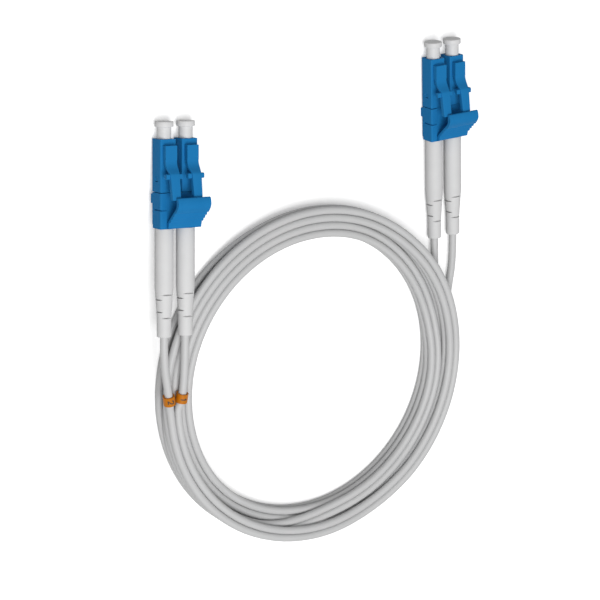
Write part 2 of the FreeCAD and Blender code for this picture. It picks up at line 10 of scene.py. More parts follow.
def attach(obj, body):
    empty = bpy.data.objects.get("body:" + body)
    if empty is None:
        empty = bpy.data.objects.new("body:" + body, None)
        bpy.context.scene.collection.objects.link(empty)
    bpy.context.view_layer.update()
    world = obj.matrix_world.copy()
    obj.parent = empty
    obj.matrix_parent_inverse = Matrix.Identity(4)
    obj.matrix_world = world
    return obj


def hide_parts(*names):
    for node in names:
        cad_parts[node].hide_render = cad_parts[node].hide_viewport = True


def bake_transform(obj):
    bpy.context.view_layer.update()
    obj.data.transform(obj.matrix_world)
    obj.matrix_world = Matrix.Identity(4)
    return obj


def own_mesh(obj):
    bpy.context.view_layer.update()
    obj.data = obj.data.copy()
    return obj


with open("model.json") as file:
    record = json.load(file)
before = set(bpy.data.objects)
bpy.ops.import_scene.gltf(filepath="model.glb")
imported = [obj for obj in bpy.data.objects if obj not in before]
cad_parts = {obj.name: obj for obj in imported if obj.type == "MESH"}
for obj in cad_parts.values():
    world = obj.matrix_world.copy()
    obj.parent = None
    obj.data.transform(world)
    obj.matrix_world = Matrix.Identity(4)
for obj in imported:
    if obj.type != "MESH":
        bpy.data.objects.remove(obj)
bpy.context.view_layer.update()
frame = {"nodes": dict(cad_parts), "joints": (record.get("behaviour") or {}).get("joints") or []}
# Sizes are in millimetres and MM makes them metres. Those of the studio are in metres already.
MM = 0.001


# ---- Duplex cord -------------------------------------------------------------------------------
# Two round cores of light grey low-smoke jacket, 2 mm nominal, joined side by side as a zip pair.
# The pair leaves the left connector's boots, winds six and a half turns and runs out beneath the
# coil to the right connector.
CORE_WIDTH = 2.1
COIL_CENTRE = np.array((-0.58, -53.25))
COIL_MIDDLE = 42.5
INNER_PAIR = COIL_MIDDLE - CORE_WIDTH
OUTER_PAIR = COIL_MIDDLE + CORE_WIDTH
POINTS_PER_TURN = 30
COIL_START = 180.0
COIL_END = 2520.0
# height of the pair's first place, in core widths
FIRST_PLACE = 3.5
# where the pair changes its place in the stack: start angle, degrees taken, core widths outward
# and core widths upward
PLACE_CHANGES = (
    (270, 40, 0, -1),
    (600, 40, -2, 0),
    (915, 45, 0, -1),
    (1230, 45, 2, 0),
    (1545, 45, 0, -1),
    (1860, 45, -2, 0),
    (2460, 45, 2, 0),
)
# where in each turn the outer column is lifted and let down again, and where the inner one sinks
# and comes up again: start angle past TURN_MARK and degrees taken
TURN_MARK = 200
OUTER_LIFT = ((80, 35), (190, 30))
INNER_SINK = ((145, 35), (210, 35))
# the angles at which the sinking and the lifting end
LAST_INNER_TURN = 1800
EXIT_TURN = 2200
# the pair's tails, from the left boots to the coil and from the coil to the right boots
TAILS = {
    "outer": (
        [(-48.19, -32.45, 8.48), (-48.73, -39.0, 8.9), (-47.55, -47.3, 8.5), (-46.9, -51.4, 8.0)],
        [(45.5, -45.35, 1.07), (46.9, -36.65, 1.2), (47.52, -29.75, 2.03), (47.34, -21.86, 2.19)],
    ),
    "inner": (
        [(-41.97, -33.05, 8.48), (-42.53, -39.6, 8.9), (-43.0, -47.3, 8.5), (-43.55, -51.4, 8.0)],
        [(42.7, -45.35, 1.07), (41.9, -36.65, 1.2), (41.29, -29.75, 2.03), (41.1, -22.04, 2.19)],
    ),
}


def eased(angle, start, span):
    """0 before start, 1 after start + span, and half a cosine wave between them."""
    part = np.clip((angle - start) / span, 0, 1)
    return 0.5 - 0.5 * np.cos(math.pi * part)


def eased_between(angle, rise, fall):
    """0, then 1 from the end of the first start and span to the start of the second, then 0."""
    return eased(angle, *rise) - eased(angle, *fall)


def coil_points(side):
    """One core's turns: a circle whose radius and height step through the places of the stack.
    The outer column is lifted where the pair runs out beneath it, and the inner column sinks
    where its lowest place is empty. The points stand outside the circle, by one over the cosine
    of half the angle between them, so that the smooth line through them keeps its radius."""
    steps = round((COIL_END - COIL_START) / 360 * POINTS_PER_TURN)
    angle = np.linspace(COIL_START, COIL_END, steps + 1)
    radius = np.full(angle.shape, OUTER_PAIR)
    height = np.full(angle.shape, FIRST_PLACE * CORE_WIDTH)
    for start, span, outward, upward in PLACE_CHANGES:
        radius += outward * CORE_WIDTH * eased(angle, start, span)
        height += upward * CORE_WIDTH * eased(angle, start, span)
    outer_share = np.clip((radius - INNER_PAIR) / (OUTER_PAIR - INNER_PAIR), 0, 1)
    around = (angle - TURN_MARK) % 360
    lifted = eased_between(around, *OUTER_LIFT)
    sunk = eased_between(around, *INNER_SINK)
    height += CORE_WIDTH * lifted * outer_share * (angle < EXIT_TURN)
    height -= CORE_WIDTH * sunk * (1 - outer_share) * (angle < LAST_INNER_TURN)
    spread = (radius + side * CORE_WIDTH / 2) / math.cos(math.pi / POINTS_PER_TURN)
    turn = np.radians(angle)
    flat = COIL_CENTRE + np.stack((spread * np.cos(turn), spread * np.sin(turn)), axis=-1)
    return np.column_stack((flat, height))


def core_curve(name, side, ends):
    """A round jacket on one smooth line through a tail, the coil's turns and the other tail."""
    points = np.concatenate((ends[0], coil_points(side), ends[1])) * MM
    line = bpy.data.curves.new(name, "CURVE")
    line.dimensions = "3D"
    spline = line.splines.new("NURBS")
    spline.points.add(len(points) - 1)
    spline.points.foreach_set("co", np.column_stack((points, np.ones(len(points)))).ravel())
    spline.points.foreach_set("radius", np.full(len(points), CORE_WIDTH / 2 * MM))
    spline.order_u = 3
    spline.use_endpoint_u = True
    line.resolution_u = 5
    line.bevel_depth = 1.0
    line.bevel_resolution = 5
    line.use_fill_caps = True
    core = bpy.data.objects.new(name, line)
    bpy.context.scene.collection.objects.link(core)
    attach(core, "lead")
    return core


class Wire:
    """A socket of a node tree that can stand in arithmetic; each operation adds its Math node."""

    def __init__(self, tree, socket):
        self.tree = tree
        self.socket = socket

    def output(self, kind, out, settings=None, **values):
        """One output of a new node, whose settings are made first and then its sockets, by name
        or, after an underscore, by number."""
        made = self.tree.nodes.new(kind)
        for name, setting in (settings or {}).items():
            setattr(made, name, setting)
        for name, given in values.items():
            socket = made.inputs[int(name[1:]) if name[0] == "_" else name.replace("_", " ")]
            if isinstance(given, Wire):
                self.tree.links.new(given.socket, socket)
            else:
                socket.default_value = given
        return Wire(self.tree, made.outputs[out])

    def maths(self, operation, first, second):
        """The Math node of an operation on two wires or numbers."""
        return self.output("ShaderNodeMath", 0, {"operation": operation}, _0=first, _1=second)

    def __add__(self, other):
        return self.maths("ADD", self, other)

    __radd__ = __add__

    def __mul__(self, other):
        return self.maths("MULTIPLY", self, other)

    __rmul__ = __mul__


def material_base(name, colour, roughness):
    """A new material, its shader and the point on the piece, as a wire."""
    material = bpy.data.materials.new(name)
    material.use_nodes = True
    tree = material.node_tree
    shader = tree.nodes["Principled BSDF"]
    shader.inputs["Base Color"].default_value = (*colour, 1)
    shader.inputs["Roughness"].default_value = roughness
    place = Wire(tree, tree.nodes.new("ShaderNodeTexCoord").outputs["Object"])
    return material, shader, place


def feed(wire, shader, socket):
    """Links a wire to a named socket of a shader."""
    wire.tree.links.new(wire.socket, shader.inputs[socket])


def grain(place, size, detail=2.0, stretch=(1, 1, 1)):
    """Noise whose lumps are about size millimetres across, 0 to 1."""
    per_metre = 1 / (size * MM)
    moved = place.output("ShaderNodeMapping", "Vector", Vector=place, Scale=stretch)
    return place.output("ShaderNodeTexNoise", "Fac", Vector=moved, Scale=per_metre, Detail=detail)


def tinted(place, amount, dark, light):
    """The colour between dark and light, by an amount of 0 to 1."""
    return place.output("ShaderNodeMix", 2, {"data_type": "RGBA"}, _0=amount, _6=(*dark, 1), _7=(*light, 1))


def raised(place, height, depth):
    """The surface's normal with the height, 0 to 1, standing depth millimetres proud."""
    return place.output("ShaderNodeBump", "Normal", Strength=1.0, Distance=depth * MM, Height=height)


def jacket_finish():
    """Extruded low-smoke jacket: light grey, satin, with faint lengthwise drag lines, a fine
    grain and slightly darker patches from handling."""
    material, shader, place = material_base("jacket_grey", (0.57, 0.57, 0.57), 0.5)
    surface = Wire(place.tree, place.tree.nodes.new("ShaderNodeTexCoord").outputs["UV"])
    lines = place.output("ShaderNodeMapping", "Vector", Vector=surface, Scale=(1.5, 60, 1))
    drag = place.output("ShaderNodeTexNoise", "Fac", Vector=lines, Scale=1.0, Detail=1.0)
    patches = grain(place, 9)
    fine = grain(place, 0.12)
    uneven = patches * 0.6 + drag * 0.4
    feed(tinted(place, uneven, (0.515, 0.517, 0.52), (0.6, 0.602, 0.602)), shader, "Base Color")
    feed(0.42 + patches * 0.12 + fine * 0.06, shader, "Roughness")
    feed(raised(place, drag * 0.6 + fine * 0.4, 0.012), shader, "Normal")
    return material


# one core from boot to boot, in metres
jacket = jacket_finish()
outer_core = core_curve("cord_core_outer", 1, TAILS["outer"])
inner_core = core_curve("cord_core_inner", -1, TAILS["inner"])
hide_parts("left_tail_2", "right_tail_1", "cord_coil")
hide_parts("left_tail_1", "right_tail_2")
for core in (outer_core, inner_core):
    core.data.materials.append(jacket)


# ---- Ferrules, springs and rear bodies ---------------------------------------------------------
# A white zirconia ferrule pressed in a nickelled hub floats on a steel spring inside each plug,
# which shortens as the ferrule is pushed in; the spring here is drawn at one length. The rear
# body snaps into the housing and carries the crimp stem. Only the ferrules show, and only with the
# dust caps off.
ENDS = ("left", "right")
# a connector's two plugs, by the number of the core, and the side of its middle that each is on
PLUG_SIDES = {"2": -1, "1": 1}
SHARP_EDGE = math.radians(35)
MERGE_DISTANCE = 0.001
SAME_PLANE = math.radians(0.5)


def zirconia_finish():
    """Polished white ceramic, with the faintest ivory cloud in it."""
    material, shader, place = material_base("zirconia_white", (0.86, 0.85, 0.82), 0.12)
    cloud = grain(place, 0.6)
    feed(tinted(place, cloud, (0.83, 0.815, 0.775), (0.88, 0.87, 0.84)), shader, "Base Color")
    feed(0.1 + cloud * 0.08, shader, "Roughness")
    shader.inputs["Specular IOR Level"].default_value = 0.8
    return material


def nickel_finish():
    """Nickel plate over turned brass, with fine rings left by the tool."""
    material, shader, place = material_base("nickel_turned", (0.66, 0.64, 0.6), 0.3)
    shader.inputs["Metallic"].default_value = 1.0
    rings = grain(place, 0.5, detail=1.0, stretch=(1, 9, 1))
    feed(tinted(place, rings, (0.58, 0.56, 0.52), (0.72, 0.7, 0.66)), shader, "Base Color")
    feed(0.22 + rings * 0.18, shader, "Roughness")
    feed(raised(place, rings, 0.006), shader, "Normal")
    return material


def spring_finish():
    """Drawn stainless wire, a little streaked."""
    material, shader, place = material_base("spring_wire", (0.45, 0.45, 0.46), 0.35)
    shader.inputs["Metallic"].default_value = 1.0
    streaks = grain(place, 0.25)
    feed(tinted(place, streaks, (0.36, 0.36, 0.37), (0.54, 0.54, 0.55)), shader, "Base Color")
    feed(0.28 + streaks * 0.15, shader, "Roughness")
    return material


def finish_nodes(word, material):
    """Gives the material to every piece of the frame with the word in its name."""
    for name, node in frame["nodes"].items():
        if word in name:
            node.data.materials.clear()
            node.data.materials.append(material)


def frame_copy(word, node_name, material):
    """A copy of a frame's piece that stands for it, with its points merged and its flat faces
    made whole."""
    shape = bmesh.new()
    shape.from_mesh(frame["nodes"][node_name].data)
    bmesh.ops.remove_doubles(shape, verts=shape.verts, dist=MERGE_DISTANCE * MM)
    bmesh.ops.dissolve_limit(shape, angle_limit=SAME_PLANE, verts=shape.verts, edges=shape.edges)
    mesh = bpy.data.meshes.new(word + "_" + node_name)
    shape.to_mesh(mesh)
    shape.free()
    mesh.materials.append(material)
    mesh.shade_smooth()
    mesh.set_sharp_from_angle(angle=SHARP_EDGE)
    piece = bpy.data.objects.new(mesh.name, mesh)
    bpy.context.scene.collection.objects.link(piece)
    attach(piece, "lead")
    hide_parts(node_name)
    return piece


nickel = nickel_finish()
finish_nodes("_ferrule_", zirconia_finish())
finish_nodes("_flange_", nickel)
finish_nodes("_crimp_sleeve_", nickel)
finish_nodes("_cord_end_", jacket)

spring_steel = spring_finish()
joints = {joint["name"]: joint for joint in frame["joints"]}
for end in ENDS:
    for core in PLUG_SIDES:
        helix = frame_copy("wound", "%s_spring_%s" % (end, core), spring_steel)
        wire_points = np.empty(3 * len(helix.data.vertices), dtype=np.float32)
        helix.data.vertices.foreach_get("co", wire_points)
        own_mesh(helix)


# ---- Plug housings -----------------------------------------------------------------------------
# Square housings of blue PBT, injection moulded, with a window on each side that the rear body's
# tab snaps into and the latch's pad on top. Two share a duplex clip at each end.
def plug_finish():
    """Moulded blue PBT: satin, with soft flow marks along the plug and a fine eroded grain."""
    material, shader, place = material_base("plug_blue", (0.014, 0.19, 0.46), 0.5)
    flow = grain(place, 5, detail=1.0, stretch=(1, 0.4, 1))
    fine = grain(place, 0.09)
    feed(tinted(place, flow, (0.011, 0.18, 0.445), (0.015, 0.197, 0.475)), shader, "Base Color")
    feed(0.44 + flow * 0.08 + fine * 0.1, shader, "Roughness")
    feed(raised(place, fine, 0.006), shader, "Normal")
    shader.inputs["Specular IOR Level"].default_value = 0.06
    return material


plug_blue = plug_finish()
finish_nodes("_rear_body_", plug_blue)

HOUSING_EDGE_ROUND = 0.05
CLIP_EDGE_ROUND = 0.06
PLUG_PITCH = 6.25
TRIGGER_HINGE = (0, -21.95, 2.46)


def soften(piece, width):
    """Rounds a piece's sharp edges to a width in millimetres."""
    edges = piece.modifiers.new("soft_edges", "BEVEL")
    edges.width = width * MM
    edges.segments = 2
    edges.limit_method = "ANGLE"
    edges.angle_limit = SHARP_EDGE
    edges.harden_normals = True


for end in ENDS:
    for core in PLUG_SIDES:
        housing = frame_copy("moulded", "%s_housing_%s" % (end, core), plug_blue)
        soften(housing, HOUSING_EDGE_ROUND)
    clip = frame_copy("moulded", end + "_clip", plug_blue)
    soften(clip, CLIP_EDGE_ROUND)


def connector_frame(end):
    """From millimetres in a connector's own frame to metres in the lead's: x along the trigger's
    hinge, y the way the dust caps pull off, z up out of the latches."""
    hinge = joints[end + "_trigger_press"]
    across = Vector(hinge["axis"]).normalized()
    forward = Vector(joints[end + "_cap_1_pull"]["axis"]).normalized()
    upward = across.cross(forward)
    turn = Matrix((across, forward, upward)).transposed().to_4x4()
    place = Matrix.Translation(hinge["pos_m"]) @ turn @ Matrix.Scale(MM, 4)
    return place @ Matrix.Translation(-Vector(TRIGGER_HINGE))


CONNECTORS = {end: connector_frame(end) for end in ENDS}


def plug_frame(end, core):
    """A plug's own frame: its connector's, moved half the pitch along the trigger's hinge."""
    return CONNECTORS[end] @ Matrix.Translation((PLUG_SIDES[core] * PLUG_PITCH / 2, 0, 0))


def skin_faces(rows, columns, first=0, wrap_rows=False):
    """Quads over a grid of points whose columns wrap round; its rows wrap too if asked."""
    row = np.arange(rows if wrap_rows else rows - 1)[:, None]
    column = np.arange(columns)[None, :]
    above, beside = (row + 1) % rows, (column + 1) % columns
    corners = (row * columns + column, row * columns + beside,
               above * columns + beside, above * columns + column)
    quads = np.stack([np.broadcast_to(corner, (row.size, columns)) for corner in corners], axis=-1)
    return (quads + first).reshape(-1, 4).tolist()


def capped_skin(rows, columns, first=0):
    """Faces of a tube with both of its ends closed."""
    start = np.arange(columns) + first
    finish = start + (rows - 1) * columns
    return skin_faces(rows, columns, first) + [start[::-1].tolist(), finish.tolist()]


def new_piece(name, points, faces, place, material):
    """A mesh object from points in millimetres in a connector's or plug's frame, seated in the
    lead's frame."""
    turn = np.array(place)
    seated = points.reshape(-1, 3) @ turn[:3, :3].T + turn[:3, 3]
    mesh = bpy.data.meshes.new(name)
    mesh.from_pydata(seated.tolist(), [], faces)
    mesh.materials.append(material)
    mesh.shade_smooth()
    mesh.set_sharp_from_angle(angle=SHARP_EDGE)
    piece = bpy.data.objects.new(name, mesh)
    bpy.context.scene.collection.objects.link(piece)
    return piece


# ---- Latch arms --------------------------------------------------------------------------------
# Each latch is one springy moulding with its pad: it thins at a living hinge, sweeps up to the two
# shoulders that lock in an adaptor, and runs on as a plain tail under the trigger.
HALF_HOUSING = 2.26
PAD_TOP = HALF_HOUSING + 1.6
# place along the plug, top, underside and half width
LATCH_STATIONS = np.array((
    (-4.2, PAD_TOP - 0.05, PAD_TOP - 1.05, 1.58),
    (-4.7, PAD_TOP - 0.02, PAD_TOP - 1.03, 1.62),
    (-5.2, PAD_TOP + 0.015, PAD_TOP - 1.0, 1.655),
    (-5.5, PAD_TOP + 0.03, PAD_TOP - 0.98, 1.66),
    (-5.9, PAD_TOP + 0.11, PAD_TOP - 0.92, 1.655),
    (-6.27, PAD_TOP + 0.23, PAD_TOP - 0.8, 1.65),
    (-6.7, PAD_TOP + 0.45, PAD_TOP - 0.57, 1.64),
    (-7.15, PAD_TOP + 0.76, PAD_TOP - 0.27, 1.6),
    (-7.55, PAD_TOP + 1.12, PAD_TOP + 0.09, 1.54),
    (-7.89, PAD_TOP + 1.46, PAD_TOP + 0.4, 1.46),
    (-8.2, PAD_TOP + 1.77, PAD_TOP + 0.56, 1.39),
    (-8.5, PAD_TOP + 1.99, PAD_TOP + 0.66, 1.35),
    (-8.9, PAD_TOP + 2.11, PAD_TOP + 0.73, 1.34),
    (-9.8, PAD_TOP + 2.25, PAD_TOP + 0.86, 1.32),
    (-11.5, PAD_TOP + 2.49, PAD_TOP + 1.1, 1.29),
    (-13.5, PAD_TOP + 2.78, PAD_TOP + 1.38, 1.23),
    (-14.7, PAD_TOP + 2.955, PAD_TOP + 1.56, 1.19),
))
LATCH_TIP = np.array((
    (-14.84, PAD_TOP + 2.96, PAD_TOP + 1.6, 1.16),
    (-14.94, PAD_TOP + 2.92, PAD_TOP + 1.67, 1.1),
    (-15.0, PAD_TOP + 2.83, PAD_TOP + 1.78, 1.0),
))
EDGE_ROUND = 0.2
CORNER_STEPS = 6
SHOULDER_ROUND = 0.3
SHOULDER_FRONT, SHOULDER_REAR = -8.45, -9.8
SHOULDER_TOP, SHOULDER_UNDER = PAD_TOP + 1.75, PAD_TOP + 0.55
SHOULDER_HALF_WIDTH = 2.35
# the living hinge: places along the plug at which its bend starts and ends, and its height
LATCH_ROOT = -5.5
HINGE_BEND = (LATCH_ROOT + 0.3, LATCH_ROOT - 0.9)
HINGE_HEIGHT = PAD_TOP - 0.5


def eased_rows(rows, per_span):
    """Rows on a Catmull-Rom curve through the given rows, per_span of them from each to the next."""
    padded = np.concatenate((2 * rows[:1] - rows[1:2], rows, 2 * rows[-1:] - rows[-2:-1]))
    share = np.linspace(0, 1, per_span, endpoint=False)[None, :, None]
    before, start, finish, after = (padded[k:k + len(rows) - 1, None, :] for k in range(4))
    bend = 2 * before - 5 * start + 4 * finish - after
    twist = 3 * start - before - 3 * finish + after
    curve = start + share / 2 * (finish - before + share * (bend + share * twist))
    return np.concatenate((curve.reshape(-1, rows.shape[1]), rows[-1:]))


def rounded_sections(half_width, low, high, radius):
    """Rectangles with corners rounded by quarter circles, one row of points for each rectangle."""
    turn = np.radians(np.concatenate([np.linspace(90 * k, 90 * k + 90, CORNER_STEPS) for k in range(4)]))
    right = np.repeat((1, -1, -1, 1), CORNER_STEPS)
    upper = np.repeat((1, 1, -1, -1), CORNER_STEPS)
    middle, reach = (low + high)[:, None] / 2, (high - low)[:, None] / 2
    across = right * (half_width[:, None] - radius) + radius * np.cos(turn)
    upward = middle + upper * (reach - radius) + radius * np.sin(turn)
    return across, upward


def latch_points():
    """Points of the arm, a rounded section carried along the plug, and of the shoulders, a
    rounded section carried across it that shrinks towards both ends."""
    rows = np.concatenate((eased_rows(LATCH_STATIONS, per_span=4), LATCH_TIP))
    along, top, under, half_width = rows.T
    across, upward = rounded_sections(half_width, under, top, EDGE_ROUND)
    arm = np.stack((across, np.broadcast_to(along[:, None], across.shape), upward), axis=-1)
    turn = np.radians(np.linspace(0, 90, CORNER_STEPS))
    shrink = EDGE_ROUND * np.concatenate((1 - np.sin(turn), (1 - np.sin(turn))[::-1]))
    reach = SHOULDER_HALF_WIDTH - EDGE_ROUND + EDGE_ROUND * np.cos(turn)
    aside = np.concatenate((-reach, reach[::-1]))
    half_length = (SHOULDER_FRONT - SHOULDER_REAR) / 2 - shrink
    low, high = SHOULDER_UNDER + shrink, SHOULDER_TOP - shrink
    lengthwise, upward = rounded_sections(half_length, low, high, SHOULDER_ROUND)
    lengthwise = lengthwise + (SHOULDER_FRONT + SHOULDER_REAR) / 2
    across = np.broadcast_to(aside[:, None], lengthwise.shape)
    shoulders = np.stack((across, lengthwise, upward), axis=-1)
    return arm, shoulders


arm_points, shoulder_points = latch_points()
latch_faces = capped_skin(*arm_points.shape[:2])
latch_faces += capped_skin(*shoulder_points.shape[:2], first=arm_points[..., 0].size)
latch_shape = np.concatenate((arm_points.reshape(-1, 3), shoulder_points.reshape(-1, 3)))
for end in ENDS:
    for core in PLUG_SIDES:
        seat = plug_frame(end, core)
        latch = new_piece("latch_%s_%s" % (end, core), latch_shape, latch_faces, seat, plug_blue)
        bend_start, bend_end = (seat @ Vector((0, y, HINGE_HEIGHT)) for y in HINGE_BEND)
        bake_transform(latch)
        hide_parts("%s_latch_arm_%s" % (end, core))


# ---- Dust caps ---------------------------------------------------------------------------------
# Soft rimmed caps of natural polyethylene, moulded hollow and pushed into the nose bores to keep
# the ferrules clean. They pull off forwards by hand.
def cap_finish():
    """Natural polyethylene: cloudy light grey, waxy, with a soft handled grain."""
    material, shader, place = material_base("cap_natural", (0.7, 0.7, 0.7), 0.45)
    cloud = grain(place, 2.5)
    fine = grain(place, 0.12)
    feed(tinted(place, cloud, (0.66, 0.66, 0.665), (0.74, 0.74, 0.74)), shader, "Base Color")
    feed(0.38 + cloud * 0.12 + fine * 0.06, shader, "Roughness")
    feed(raised(place, fine, 0.006), shader, "Normal")
    shader.inputs["Specular IOR Level"].default_value = 0.3
    return material


CAP_RISE = 4.4
CAP_RADIUS = 2.4
CAP_UNDER = CAP_RISE - 1.35
CAP_BARREL = 1.8
TURNED_STEPS = 96
# radius and height from the middle of the roof, over the rim and barrel, and up the bore
CAP_PROFILE = np.array((
    (0.2, CAP_RISE), (CAP_RADIUS - 0.25, CAP_RISE), (CAP_RADIUS - 0.12, CAP_RISE - 0.02),
    (CAP_RADIUS - 0.04, CAP_RISE - 0.07), (CAP_RADIUS, CAP_RISE - 0.17),
    (CAP_RADIUS, CAP_UNDER + 0.14), (CAP_RADIUS - 0.03, CAP_UNDER + 0.05), (CAP_RADIUS - 0.11, CAP_UNDER),
    (2.1, CAP_UNDER), (1.94, CAP_UNDER - 0.02), (1.86, CAP_UNDER - 0.08), (1.82, CAP_UNDER - 0.17),
    (CAP_BARREL, CAP_UNDER - 0.3), (CAP_BARREL, 1.2), (CAP_BARREL, -1.7), (1.74, -1.9), (1.6, -2.0),
    (0.95, -2.0), (0.83, -1.94), (0.8, -1.8), (0.8, 3.2), (0.74, 3.35), (0.6, 3.4), (0.15, 3.4),
))


def turned_points(radius, along):
    """A grid about the y axis: each row a ring whose radius and place may change with the angle."""
    turn = np.linspace(0, math.tau, TURNED_STEPS, endpoint=False)
    radius, along = (np.broadcast_to(values, (len(values), TURNED_STEPS)) for values in (radius, along))
    return np.stack((radius * np.cos(turn), along, radius * np.sin(turn)), axis=-1)


cap_natural = cap_finish()
cap_shape = turned_points(CAP_PROFILE[:, :1], CAP_PROFILE[:, 1:])
cap_faces = capped_skin(*cap_shape.shape[:2])
for end in ENDS:
    for core in PLUG_SIDES:
        cap = new_piece("cap_%s_%s" % (end, core), cap_shape, cap_faces, plug_frame(end, core),
                        cap_natural)
        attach(cap, "%s_cap_%s" % (end, core))
        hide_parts("%s_dust_cap_%s" % (end, core))


# ---- Boots -------------------------------------------------------------------------------------
# Bend reliefs of light grey elastomer pushed over the crimp sleeves: straight, then tapered, with
# pairs of slits on crossed sides that let the taper bend.
def boot_finish():
    """Moulded elastomer: light grey, matt, with a fine sprayed grain and slight clouding."""
    material, shader, place = material_base("boot_grey", (0.67, 0.67, 0.67), 0.6)
    cloud = grain(place, 4)
    fine = grain(place, 0.1)
    feed(tinted(place, cloud, (0.64, 0.64, 0.643), (0.7, 0.7, 0.7)), shader, "Base Color")
    feed(0.52 + cloud * 0.08 + fine * 0.08, shader, "Roughness")
    feed(raised(place, fine, 0.008), shader, "Normal")
    shader.inputs["Specular IOR Level"].default_value = 0.3
    return material


HOUSING_LENGTH = 13.4
CLIP_LENGTH = 9.3
BOOT_TOP = -HOUSING_LENGTH - CLIP_LENGTH
BOOT_RADIUS = 2.4
BOOT_STRAIGHT = 15.2
BOOT_TAPER = 7.5
BOOT_LENGTH = 28.0
BOOT_END_RADIUS = 1.875
BOOT_BORE = 1.06
SLIT_WIDTH = 0.34
SLIT_DEPTH = 0.7
SLIT_LIP = 0.03
LEAST_COSINE = 0.01
# distance from the boot's top and the angle of the slit's middle
SLITS = ((16.9, 90), (18.2, 0), (21.4, 0), (22.9, 90))
# distance from the boot's top of the rings between and beside the slits
BOOT_RINGS = (0.1, 5, 10, 14.6, 15, 15.4, 16, 17.55, 18.8, 20, 20.8, 22.1, 22.45, 23.4, 24.5, 26, 27.7)
# radius and distance from the boot's top of the rings round its end, up its bore and over its top
BOOT_END_RINGS = np.array((
    (1.835, BOOT_LENGTH - 0.14), (1.745, BOOT_LENGTH - 0.04), (1.6, BOOT_LENGTH), (1.16, BOOT_LENGTH),
    (BOOT_BORE, BOOT_LENGTH - 0.1), (BOOT_BORE, 12.0), (1.3, 11.9), (1.3, 0.1), (1.4, 0.0), (2.3, 0.0),
    (2.37, 0.03)))


def boot_radius(place):
    """The radius at a distance from the boot's top: even, then an even taper to the end's."""
    return np.interp(place - BOOT_STRAIGHT, (0, BOOT_TAPER), (BOOT_RADIUS, BOOT_END_RADIUS))


def plain_ring(radius, place):
    """A ring of one radius at one distance from the boot's top."""
    return np.full(TURNED_STEPS, radius), np.full(TURNED_STEPS, place)


def boot_points():
    """Rings from the boot's top to its rounded end and back up its bore. At a slit two rings are
    cut by flat chords, to the slit's depth below the surface on two opposite sides, and the four
    rings draw together towards the chord's ends, as the square root of the cut's depth there."""
    turn = np.linspace(0, math.tau, TURNED_STEPS, endpoint=False)
    rings = [plain_ring(boot_radius(place), place) for place in BOOT_RINGS]
    for place, middle in SLITS:
        radius = boot_radius(place)
        slope = np.maximum(np.abs(np.cos(turn - math.radians(middle))), LEAST_COSINE)
        cut = np.minimum((radius - SLIT_DEPTH) / slope, radius)
        spread = SLIT_WIDTH / 2 * np.sqrt((radius - cut) / SLIT_DEPTH)
        for side in (-1, 1):
            rings.append((np.full(TURNED_STEPS, radius), place + side * (spread + SLIT_LIP)))
            rings.append((cut, place + side * (spread + SLIT_LIP / 2)))
    rings.sort(key=lambda ring: ring[1].max() + ring[1].min())
    rings += [plain_ring(radius, place) for radius, place in BOOT_END_RINGS]
    radii, along = (np.array([ring[k] for ring in rings]) for k in (0, 1))
    return turned_points(radii, BOOT_TOP - along)


boot_grey = boot_finish()
boot_shape = boot_points()
boot_faces = skin_faces(*boot_shape.shape[:2], wrap_rows=True)
for end in ENDS:
    for core in PLUG_SIDES:
        boot = new_piece("boot_%s_%s" % (end, core), boot_shape, boot_faces, plug_frame(end, core),
                         boot_grey)
        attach(boot, "lead")
        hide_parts("%s_boot_%s" % (end, core))


# ---- Trigger wings -----------------------------------------------------------------------------
# A wide wing hinged low on each duplex clip: it rises in grip steps to a rounded lip that presses
# both latch tails at once.
WING_SIDES = np.array((-3.5, 6.0))
WING_EDGE_ROUND = 0.1
# place along the connector, height and how far from the corner its rounding starts
WING_CORNERS = np.array((
    (-22.5, 2.42, 0.08), (-22.5, 3.01, 0.15),
    (-20.9, 3.46, 0.06), (-20.9, 4.11, 0.14), (-20.05, 4.36, 0.06), (-20.05, 5.01, 0.14),
    (-19.2, 5.26, 0.06), (-19.2, 5.91, 0.14), (-18.35, 6.16, 0.06), (-18.35, 6.81, 0.16),
    (-16.95, 8.01, 0.75), (-15.95, 8.21, 0.45), (-14.95, 8.01, 0.4), (-14.35, 7.71, 0.28),
    (-14.35, 7.2, 0.2), (-14.65, 7.16, 0.08), (-16.95, 7.16, 0.7), (-18.35, 5.5, 0.5),
    (-20.9, 2.66, 0.25), (-21.45, 2.4, 0.2), (-21.7, 1.98, 0.1), (-22.05, 1.98, 0.12)))


def rounded_outline(corners):
    """A closed outline whose corners give way to short curves, each a parabola that leaves one
    side and meets the next at the corner's third number from the corner."""
    here = corners[:, None, :2]
    setback = corners[:, 2][:, None, None]
    back = np.roll(corners[:, :2], 1, axis=0)[:, None, :] - here
    onward = np.roll(corners[:, :2], -1, axis=0)[:, None, :] - here
    back = back / np.linalg.norm(back, axis=-1, keepdims=True)
    onward = onward / np.linalg.norm(onward, axis=-1, keepdims=True)
    share = np.linspace(0, 1, CORNER_STEPS)[None, :, None]
    curve = here + setback * ((1 - share) ** 2 * back + share ** 2 * onward)
    return curve.reshape(-1, 2)


wing_outline = rounded_outline(WING_CORNERS)
wing_shape = np.stack([np.column_stack((np.full(len(wing_outline), x), wing_outline)) for x in WING_SIDES])
wing_faces = [face[::-1] for face in capped_skin(*wing_shape.shape[:2])]
for end in ENDS:
    wing = new_piece("wing_" + end, wing_shape, wing_faces, CONNECTORS[end], plug_blue)
    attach(wing, end + "_trigger")
    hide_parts(end + "_trigger")
    soften(wing, WING_EDGE_ROUND)


